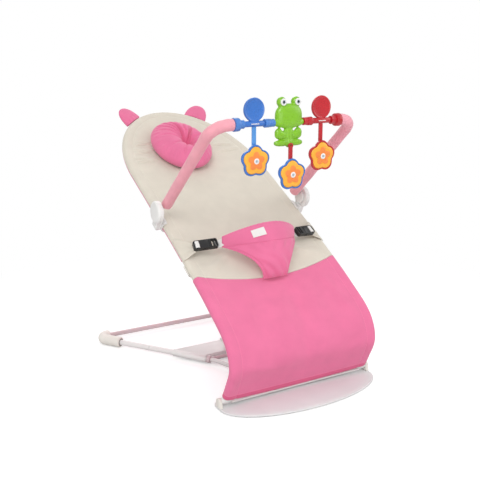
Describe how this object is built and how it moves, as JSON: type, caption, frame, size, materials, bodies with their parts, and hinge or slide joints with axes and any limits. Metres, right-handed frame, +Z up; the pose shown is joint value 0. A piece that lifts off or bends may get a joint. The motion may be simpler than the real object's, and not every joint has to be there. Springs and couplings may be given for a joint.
{
  "type": "baby_bouncer",
  "caption": "Baby bouncer with a curved tube seat in pink and cream fabric, a waist harness, a folding toy arch, a balance board and a steel base with a reclining leg.",
  "frame": {"origin": "on the floor under the balance board, midway across the seat and 6 mm in front of the seat's foot hinge", "axes": "+Z up, +Y from the feet to the head end, +X to the right of someone who looks from the foot end to the head end"},
  "size_m": [0.5906, 0.8236, 0.659],
  "materials": {
    "pink_fabric": "matte",
    "cream_fabric": "matte",
    "white_webbing": "matte",
    "pink_foam": "matte",
    "white_plastic": "satin",
    "cream_plastic": "satin",
    "black_plastic": "satin",
    "blue_plastic": "gloss",
    "sky_plastic": "gloss",
    "red_plastic": "gloss",
    "green_plastic": "gloss",
    "yellow_plastic": "gloss",
    "white_steel": "satin",
    "pink_steel": "satin",
    "arch_rod": "satin",
    "grip_rubber": "matte"
  },
  "bodies": {
    "base": {"balance_board": "white_plastic", "board_grip": "grip_rubber", "hinge_clip_left": "cream_plastic", "hinge_clip_right": "cream_plastic", "front_rod_left": "white_steel", "front_rod_right": "white_steel", "side_tube_left": "white_steel", "side_tube_right": "white_steel", "rear_bar": "pink_steel", "elbow_left": "cream_plastic", "elbow_right": "cream_plastic", "adjuster_plate": "white_plastic", "cross_bar": "pink_steel"},
    "seat": {"seat_tube_left": "white_steel", "seat_tube_right": "white_steel", "head_tube": "white_steel", "foot_rail": "white_plastic", "cross_tube": "white_steel", "leg_bracket_left": "cream_plastic", "leg_bracket_right": "cream_plastic", "cover_upper": "cream_fabric", "cover_lower": "pink_fabric", "cover_back": "pink_fabric", "ear_left": "pink_fabric", "ear_right": "pink_fabric", "pillow": "pink_fabric", "waist_pad": "pink_fabric", "buckle_socket_left": "black_plastic", "buckle_socket_right": "black_plastic", "buckle_plug_left": "black_plastic", "buckle_plug_right": "black_plastic", "waist_strap_left": "white_webbing", "waist_strap_right": "white_webbing", "side_band_left": "cream_fabric", "side_band_right": "cream_fabric", "arch_clamp_left": "white_plastic", "arch_clamp_right": "white_plastic"},
    "support_leg": {"support_leg": "white_steel"},
    "toy_arch": {"arch_tube": "arch_rod", "foam_left": "pink_foam", "foam_right": "pink_foam", "arch_hub_left": "white_plastic", "arch_hub_right": "white_plastic", "blue_spacer_outer": "blue_plastic", "blue_spacer_inner": "blue_plastic", "red_spacer_inner": "red_plastic", "red_spacer_outer": "red_plastic"},
    "blue_toy": {"blue_paddle": "blue_plastic", "blue_stem": "sky_plastic"},
    "blue_flower": {"blue_flower_dish": "blue_plastic", "blue_flower_petals": "yellow_plastic"},
    "red_toy": {"red_paddle": "red_plastic", "red_stem": "red_plastic"},
    "red_flower": {"red_flower_dish": "red_plastic", "red_flower_petals": "yellow_plastic"},
    "frog": {"frog": "green_plastic"},
    "rattle": {"rattle_stem": "red_plastic"},
    "rattle_flower": {"rattle_flower_dish": "blue_plastic", "rattle_flower_petals": "yellow_plastic"}
  },
  "joints": [
    {"name": "seat_recline", "type": "hinge", "parent": "base", "child": "seat", "pos_m": [0, 0.006, 0.0195], "axis": [1, 0, 0], "range_deg": [-32, 2.3]},
    {"name": "support_leg_fold", "type": "hinge", "parent": "seat", "child": "support_leg", "pos_m": [0, 0.18, 0.236], "axis": [1, 0, 0], "range_deg": [-6.6, 88]},
    {"name": "arch_swing", "type": "hinge", "parent": "seat", "child": "toy_arch", "pos_m": [0, 0.294, 0.385], "axis": [1, 0, 0], "range_deg": [-90, 15]},
    {"name": "blue_toy_swing", "type": "hinge", "parent": "toy_arch", "child": "blue_toy", "pos_m": [-0.084, 0.05885, 0.60457], "axis": [1, 0, 0], "range_deg": [-40, 40]},
    {"name": "blue_flower_spin", "type": "hinge", "parent": "blue_toy", "child": "blue_flower", "pos_m": [-0.084, 0.05885, 0.52627], "axis": [0, 1, 0], "continuous": true},
    {"name": "red_toy_swing", "type": "hinge", "parent": "toy_arch", "child": "red_toy", "pos_m": [0.089, 0.05885, 0.60457], "axis": [1, 0, 0], "range_deg": [-40, 40]},
    {"name": "red_flower_spin", "type": "hinge", "parent": "red_toy", "child": "red_flower", "pos_m": [0.089, 0.05885, 0.52627], "axis": [0, 1, 0], "continuous": true},
    {"name": "frog_swing", "type": "hinge", "parent": "toy_arch", "child": "frog", "pos_m": [0.003, 0.05885, 0.60457], "axis": [1, 0, 0], "range_deg": [-40, 40]},
    {"name": "rattle_swing", "type": "hinge", "parent": "frog", "child": "rattle", "pos_m": [0.003, 0.04905, 0.55457], "axis": [0, 1, 0], "range_deg": [-40, 40]},
    {"name": "rattle_flower_spin", "type": "hinge", "parent": "rattle", "child": "rattle_flower", "pos_m": [0.003, 0.04905, 0.49257], "axis": [0, 1, 0], "continuous": true}
  ],
  "couplings": [
    {"joint": "support_leg_fold", "follows": "seat_recline", "ratio": -2.74}
  ]
}
